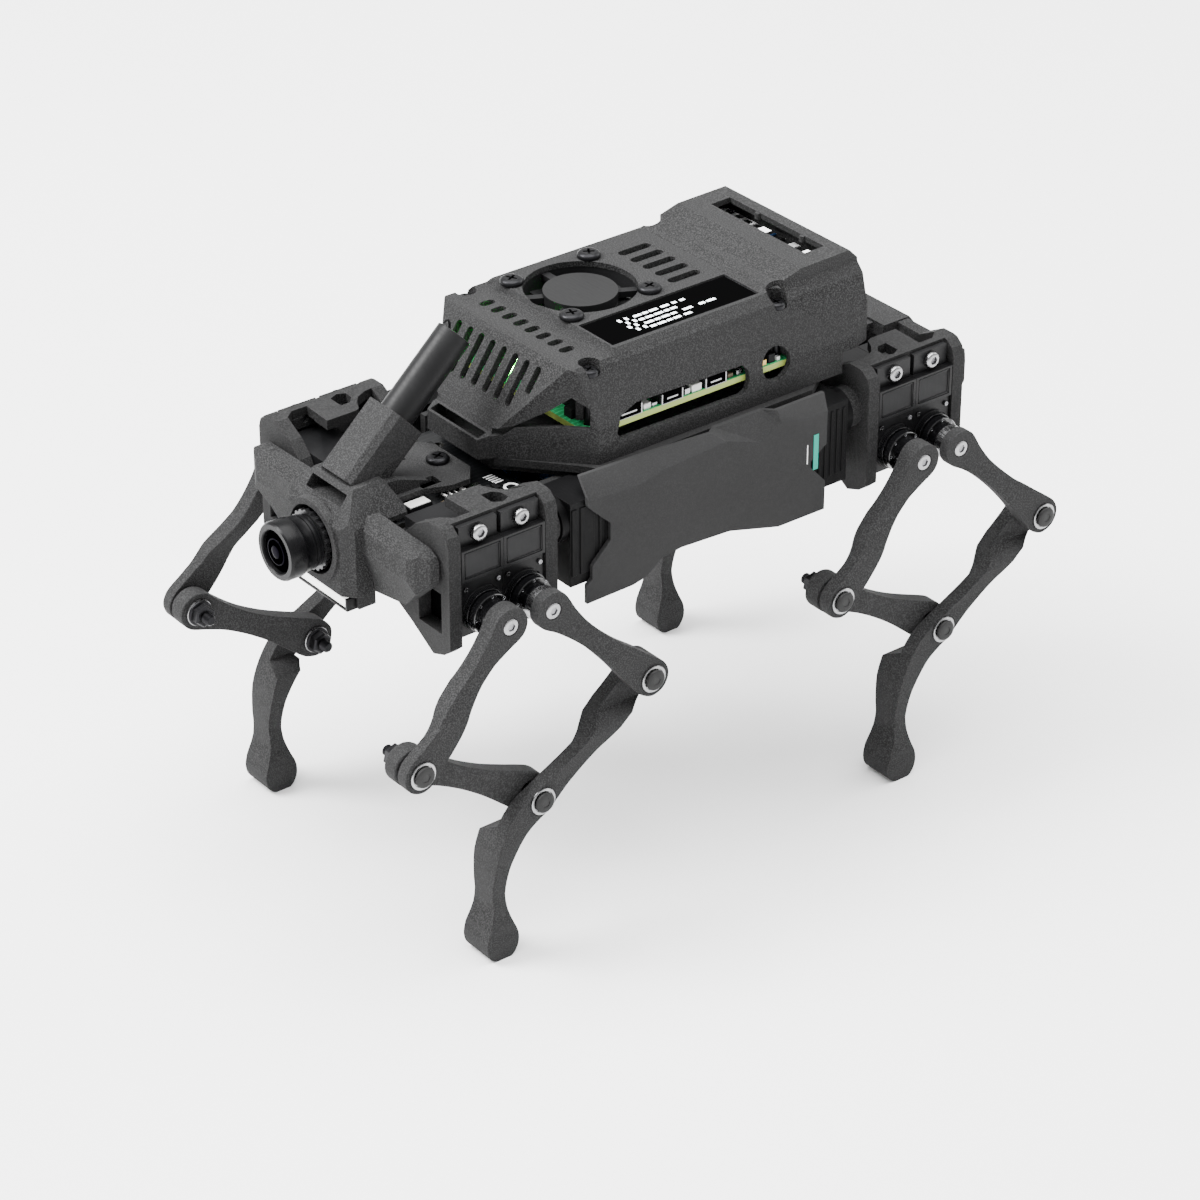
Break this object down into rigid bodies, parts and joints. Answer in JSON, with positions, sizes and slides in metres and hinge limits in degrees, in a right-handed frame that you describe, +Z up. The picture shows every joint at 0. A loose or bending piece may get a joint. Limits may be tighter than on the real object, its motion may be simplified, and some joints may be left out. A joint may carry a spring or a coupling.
{
  "type": "quadruped robot",
  "caption": "Legged walking robot: a vented electronics case on a slim frame, a lens and a slanted neck tube at the front, and folding linkage legs on swinging servo hips.",
  "frame": {"origin": "on the ground under the middle of the robot's outer box", "axes": "-Y is the robot's front, +X its left side, +Z up"},
  "size_m": [0.1076, 0.207, 0.1436],
  "materials": {
    "printed": "fine-grained sintered nylon, dark grey",
    "servo": "moulded black plastic, satin",
    "steel": "turned steel with black plastic horn",
    "dark_steel": "black oxide",
    "battery": "shrink sleeve",
    "dark_board": "black solder mask",
    "green_board": "green solder mask",
    "lens": "black anodised barrel with glass front",
    "light": "frosted white diffuser",
    "tube": "smooth extruded tube",
    "screen": "polished black display glass"
  },
  "bodies": {
    "body": {"chassis_frame": "printed", "side_armor": "printed", "hip_servos": "servo", "control_board": "dark_board", "battery_pack": "battery", "head_shell": "printed", "tail_frame": "printed", "camera_module": "lens", "light_bar": "light", "neck_tube": "tube", "top_case": "printed", "computer_board": "green_board", "fan_frame": "servo", "display_panel": "screen", "case_screws": "dark_steel"},
    "fan": {"fan_rotor": "servo"},
    "front_left_hip": {"front_left_hip_bracket": "printed", "front_left_leg_servos": "servo"},
    "front_left_thigh_arm": {"front_left_thigh": "printed", "front_left_thigh_hub": "steel"},
    "front_left_knee_pin": {"front_left_knee_bolt": "dark_steel"},
    "front_left_lower_link": {"front_left_knee_link": "printed"},
    "front_left_rear_arm": {"front_left_rear_link": "printed", "front_left_rear_hub": "steel"},
    "front_left_elbow_pin": {"front_left_elbow_bolt": "dark_steel"},
    "front_left_lower_leg": {"front_left_shin": "printed", "front_left_shin_bolt": "dark_steel"},
    "front_right_hip": {"front_right_hip_bracket": "printed", "front_right_leg_servos": "servo"},
    "front_right_thigh_arm": {"front_right_thigh": "printed", "front_right_thigh_hub": "steel"},
    "front_right_knee_pin": {"front_right_knee_bolt": "dark_steel"},
    "front_right_lower_link": {"front_right_knee_link": "printed"},
    "front_right_rear_arm": {"front_right_rear_link": "printed", "front_right_rear_hub": "steel"},
    "front_right_elbow_pin": {"front_right_elbow_bolt": "dark_steel"},
    "front_right_lower_leg": {"front_right_shin": "printed", "front_right_shin_bolt": "dark_steel"},
    "rear_left_hip": {"rear_left_hip_bracket": "printed", "rear_left_leg_servos": "servo"},
    "rear_left_thigh_arm": {"rear_left_thigh": "printed", "rear_left_thigh_hub": "steel"},
    "rear_left_knee_pin": {"rear_left_knee_bolt": "dark_steel"},
    "rear_left_lower_link": {"rear_left_knee_link": "printed"},
    "rear_left_rear_arm": {"rear_left_rear_link": "printed", "rear_left_rear_hub": "steel"},
    "rear_left_elbow_pin": {"rear_left_elbow_bolt": "dark_steel"},
    "rear_left_lower_leg": {"rear_left_shin": "printed", "rear_left_shin_bolt": "dark_steel"},
    "rear_right_hip": {"rear_right_hip_bracket": "printed", "rear_right_leg_servos": "servo"},
    "rear_right_thigh_arm": {"rear_right_thigh": "printed", "rear_right_thigh_hub": "steel"},
    "rear_right_knee_pin": {"rear_right_knee_bolt": "dark_steel"},
    "rear_right_lower_link": {"rear_right_knee_link": "printed"},
    "rear_right_rear_arm": {"rear_right_rear_link": "printed", "rear_right_rear_hub": "steel"},
    "rear_right_elbow_pin": {"rear_right_elbow_bolt": "dark_steel"},
    "rear_right_lower_leg": {"rear_right_shin": "printed", "rear_right_shin_bolt": "dark_steel"}
  },
  "joints": [
    {"name": "fan_spin", "type": "hinge", "parent": "body", "child": "fan", "pos_m": [-0.0068, -0.00685, 0.132], "axis": [0, 0, 1], "continuous": true},
    {"name": "front_left_hip_swing", "type": "hinge", "parent": "body", "child": "front_left_hip", "pos_m": [0.031, -0.07125, 0.102], "axis": [0, 1, 0], "range_deg": [-20, 12]},
    {"name": "front_left_thigh_turn", "type": "hinge", "parent": "front_left_hip", "child": "front_left_thigh_arm", "pos_m": [0.047, -0.07125, 0.0904], "axis": [1, 0, 0], "range_deg": [-15, 15]},
    {"name": "front_left_knee_turn", "type": "hinge", "parent": "front_left_thigh_arm", "child": "front_left_knee_pin", "pos_m": [0.047, -0.09889, 0.06148], "axis": [1, 0, 0], "range_deg": [-19.5, 19.5]},
    {"name": "front_left_lower_link_turn", "type": "hinge", "parent": "front_left_knee_pin", "child": "front_left_lower_link", "pos_m": [0.045, -0.09889, 0.06148], "axis": [1, 0, 0], "range_deg": [-17, 17]},
    {"name": "front_left_rear_turn", "type": "hinge", "parent": "front_left_hip", "child": "front_left_rear_arm", "pos_m": [0.048, -0.05905, 0.0904], "axis": [1, 0, 0], "range_deg": [-15, 15]},
    {"name": "front_left_elbow_turn", "type": "hinge", "parent": "front_left_rear_arm", "child": "front_left_elbow_pin", "pos_m": [0.048, -0.03072, 0.06216], "axis": [1, 0, 0], "range_deg": [-19.5, 19.5]},
    {"name": "front_left_shin_turn", "type": "hinge", "parent": "front_left_elbow_pin", "child": "front_left_lower_leg", "pos_m": [0.046, -0.03072, 0.06216], "axis": [1, 0, 0], "range_deg": [-17, 17]},
    {"name": "front_right_hip_swing", "type": "hinge", "parent": "body", "child": "front_right_hip", "pos_m": [-0.031, -0.07125, 0.102], "axis": [0, 1, 0], "range_deg": [-12, 20]},
    {"name": "front_right_thigh_turn", "type": "hinge", "parent": "front_right_hip", "child": "front_right_thigh_arm", "pos_m": [-0.047, -0.07125, 0.0904], "axis": [1, 0, 0], "range_deg": [-15, 15]},
    {"name": "front_right_knee_turn", "type": "hinge", "parent": "front_right_thigh_arm", "child": "front_right_knee_pin", "pos_m": [-0.047, -0.09889, 0.06148], "axis": [1, 0, 0], "range_deg": [-19.5, 19.5]},
    {"name": "front_right_lower_link_turn", "type": "hinge", "parent": "front_right_knee_pin", "child": "front_right_lower_link", "pos_m": [-0.045, -0.09889, 0.06148], "axis": [1, 0, 0], "range_deg": [-17, 17]},
    {"name": "front_right_rear_turn", "type": "hinge", "parent": "front_right_hip", "child": "front_right_rear_arm", "pos_m": [-0.048, -0.05905, 0.0904], "axis": [1, 0, 0], "range_deg": [-15, 15]},
    {"name": "front_right_elbow_turn", "type": "hinge", "parent": "front_right_rear_arm", "child": "front_right_elbow_pin", "pos_m": [-0.048, -0.03072, 0.06216], "axis": [1, 0, 0], "range_deg": [-19.5, 19.5]},
    {"name": "front_right_shin_turn", "type": "hinge", "parent": "front_right_elbow_pin", "child": "front_right_lower_leg", "pos_m": [-0.046, -0.03072, 0.06216], "axis": [1, 0, 0], "range_deg": [-17, 17]},
    {"name": "rear_left_hip_swing", "type": "hinge", "parent": "body", "child": "rear_left_hip", "pos_m": [0.031, 0.06995, 0.102], "axis": [0, 1, 0], "range_deg": [-20, 12]},
    {"name": "rear_left_thigh_turn", "type": "hinge", "parent": "rear_left_hip", "child": "rear_left_thigh_arm", "pos_m": [0.047, 0.05775, 0.0904], "axis": [1, 0, 0], "range_deg": [-15, 15]},
    {"name": "rear_left_knee_turn", "type": "hinge", "parent": "rear_left_thigh_arm", "child": "rear_left_knee_pin", "pos_m": [0.047, 0.03011, 0.06148], "axis": [1, 0, 0], "range_deg": [-19.5, 19.5]},
    {"name": "rear_left_lower_link_turn", "type": "hinge", "parent": "rear_left_knee_pin", "child": "rear_left_lower_link", "pos_m": [0.045, 0.03011, 0.06148], "axis": [1, 0, 0], "range_deg": [-17, 17]},
    {"name": "rear_left_rear_turn", "type": "hinge", "parent": "rear_left_hip", "child": "rear_left_rear_arm", "pos_m": [0.048, 0.06995, 0.0904], "axis": [1, 0, 0], "range_deg": [-15, 15]},
    {"name": "rear_left_elbow_turn", "type": "hinge", "parent": "rear_left_rear_arm", "child": "rear_left_elbow_pin", "pos_m": [0.048, 0.09828, 0.06216], "axis": [1, 0, 0], "range_deg": [-19.5, 19.5]},
    {"name": "rear_left_shin_turn", "type": "hinge", "parent": "rear_left_elbow_pin", "child": "rear_left_lower_leg", "pos_m": [0.046, 0.09828, 0.06216], "axis": [1, 0, 0], "range_deg": [-17, 17]},
    {"name": "rear_right_hip_swing", "type": "hinge", "parent": "body", "child": "rear_right_hip", "pos_m": [-0.031, 0.06995, 0.102], "axis": [0, 1, 0], "range_deg": [-12, 20]},
    {"name": "rear_right_thigh_turn", "type": "hinge", "parent": "rear_right_hip", "child": "rear_right_thigh_arm", "pos_m": [-0.047, 0.05775, 0.0904], "axis": [1, 0, 0], "range_deg": [-15, 15]},
    {"name": "rear_right_knee_turn", "type": "hinge", "parent": "rear_right_thigh_arm", "child": "rear_right_knee_pin", "pos_m": [-0.047, 0.03011, 0.06148], "axis": [1, 0, 0], "range_deg": [-19.5, 19.5]},
    {"name": "rear_right_lower_link_turn", "type": "hinge", "parent": "rear_right_knee_pin", "child": "rear_right_lower_link", "pos_m": [-0.045, 0.03011, 0.06148], "axis": [1, 0, 0], "range_deg": [-17, 17]},
    {"name": "rear_right_rear_turn", "type": "hinge", "parent": "rear_right_hip", "child": "rear_right_rear_arm", "pos_m": [-0.048, 0.06995, 0.0904], "axis": [1, 0, 0], "range_deg": [-15, 15]},
    {"name": "rear_right_elbow_turn", "type": "hinge", "parent": "rear_right_rear_arm", "child": "rear_right_elbow_pin", "pos_m": [-0.048, 0.09828, 0.06216], "axis": [1, 0, 0], "range_deg": [-19.5, 19.5]},
    {"name": "rear_right_shin_turn", "type": "hinge", "parent": "rear_right_elbow_pin", "child": "rear_right_lower_leg", "pos_m": [-0.046, 0.09828, 0.06216], "axis": [1, 0, 0], "range_deg": [-17, 17]}
  ],
  "couplings": [
    {"joint": "front_left_knee_turn", "follows": "front_left_thigh_turn", "ratio": -1.2577},
    {"joint": "front_left_lower_link_turn", "follows": "front_left_rear_turn", "ratio": 1.0831},
    {"joint": "front_left_elbow_turn", "follows": "front_left_rear_turn", "ratio": -1.2593},
    {"joint": "front_left_shin_turn", "follows": "front_left_thigh_turn", "ratio": 1.0906},
    {"joint": "front_right_knee_turn", "follows": "front_right_thigh_turn", "ratio": -1.2577},
    {"joint": "front_right_lower_link_turn", "follows": "front_right_rear_turn", "ratio": 1.0831},
    {"joint": "front_right_elbow_turn", "follows": "front_right_rear_turn", "ratio": -1.2593},
    {"joint": "front_right_shin_turn", "follows": "front_right_thigh_turn", "ratio": 1.0906},
    {"joint": "rear_left_knee_turn", "follows": "rear_left_thigh_turn", "ratio": -1.2577},
    {"joint": "rear_left_lower_link_turn", "follows": "rear_left_rear_turn", "ratio": 1.0831},
    {"joint": "rear_left_elbow_turn", "follows": "rear_left_rear_turn", "ratio": -1.2593},
    {"joint": "rear_left_shin_turn", "follows": "rear_left_thigh_turn", "ratio": 1.0906},
    {"joint": "rear_right_knee_turn", "follows": "rear_right_thigh_turn", "ratio": -1.2577},
    {"joint": "rear_right_lower_link_turn", "follows": "rear_right_rear_turn", "ratio": 1.0831},
    {"joint": "rear_right_elbow_turn", "follows": "rear_right_rear_turn", "ratio": -1.2593},
    {"joint": "rear_right_shin_turn", "follows": "rear_right_thigh_turn", "ratio": 1.0906}
  ]
}
